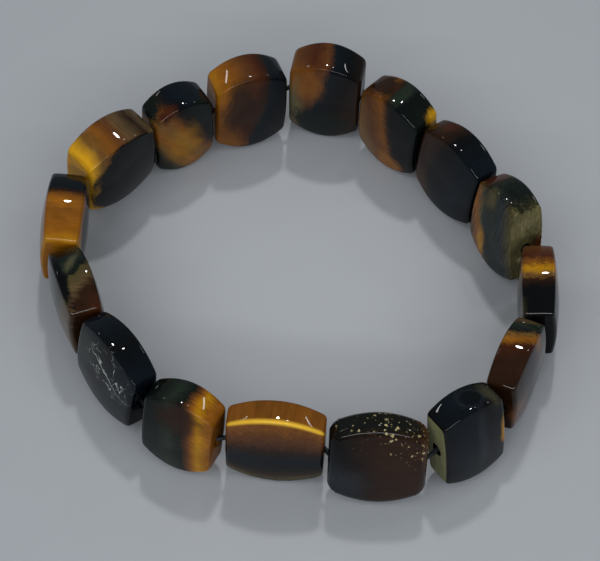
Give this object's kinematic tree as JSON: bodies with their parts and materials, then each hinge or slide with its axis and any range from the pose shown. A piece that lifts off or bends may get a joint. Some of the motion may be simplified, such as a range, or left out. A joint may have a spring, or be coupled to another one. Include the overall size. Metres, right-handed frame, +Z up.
{
  "type": "tiger's eye bead bracelet",
  "caption": "Stretch bracelet of polished tiger's eye beads, flattened barrels that stand on their narrow edges, threaded end to end on a closed elastic cord.",
  "frame": {"origin": "on the surface that the bracelet lies on, under the middle of the ring", "axes": "+Z up, through the ring's opening; +Y away from the viewer, +X to the right"},
  "size_m": [0.0774, 0.0734, 0.0165],
  "materials": {
    "stone_01": "polished tiger's eye, red-brown into blue-black",
    "stone_02": "polished tiger's eye, amber band on green-black",
    "stone_03": "polished tiger's eye, nearly black",
    "stone_04": "polished tiger's eye, grey-green fibres, matt sawn end",
    "stone_05": "polished tiger's eye, golden band on red-brown",
    "stone_06": "polished tiger's eye, golden band on dark red",
    "stone_07": "polished tiger's eye, blue-black",
    "stone_08": "polished tiger's eye, black-brown with pale specks",
    "stone_09": "polished tiger's eye, golden top and blue-black face",
    "stone_10": "polished tiger's eye, green-black into amber",
    "stone_11": "polished tiger's eye, blue-black with pale veins",
    "stone_12": "polished tiger's eye, green-grey with a brown patch",
    "stone_13": "polished tiger's eye, amber body with a blue-black end",
    "stone_14": "polished tiger's eye, golden into grey-brown",
    "stone_15": "polished tiger's eye, golden-brown face with a blue-black top",
    "stone_16": "polished tiger's eye, amber and red-brown into black",
    "elastic": "dark satin elastic"
  },
  "bodies": {
    "root": {"bead_01": "stone_01", "bead_02": "stone_02", "bead_03": "stone_03", "bead_04": "stone_04", "bead_05": "stone_05", "bead_06": "stone_06", "bead_07": "stone_07", "bead_08": "stone_08", "bead_09": "stone_09", "bead_10": "stone_10", "bead_11": "stone_11", "bead_12": "stone_12", "bead_13": "stone_13", "bead_14": "stone_14", "bead_15": "stone_15", "bead_16": "stone_16", "elastic_cord": "elastic"}
  },
  "joints": []
}
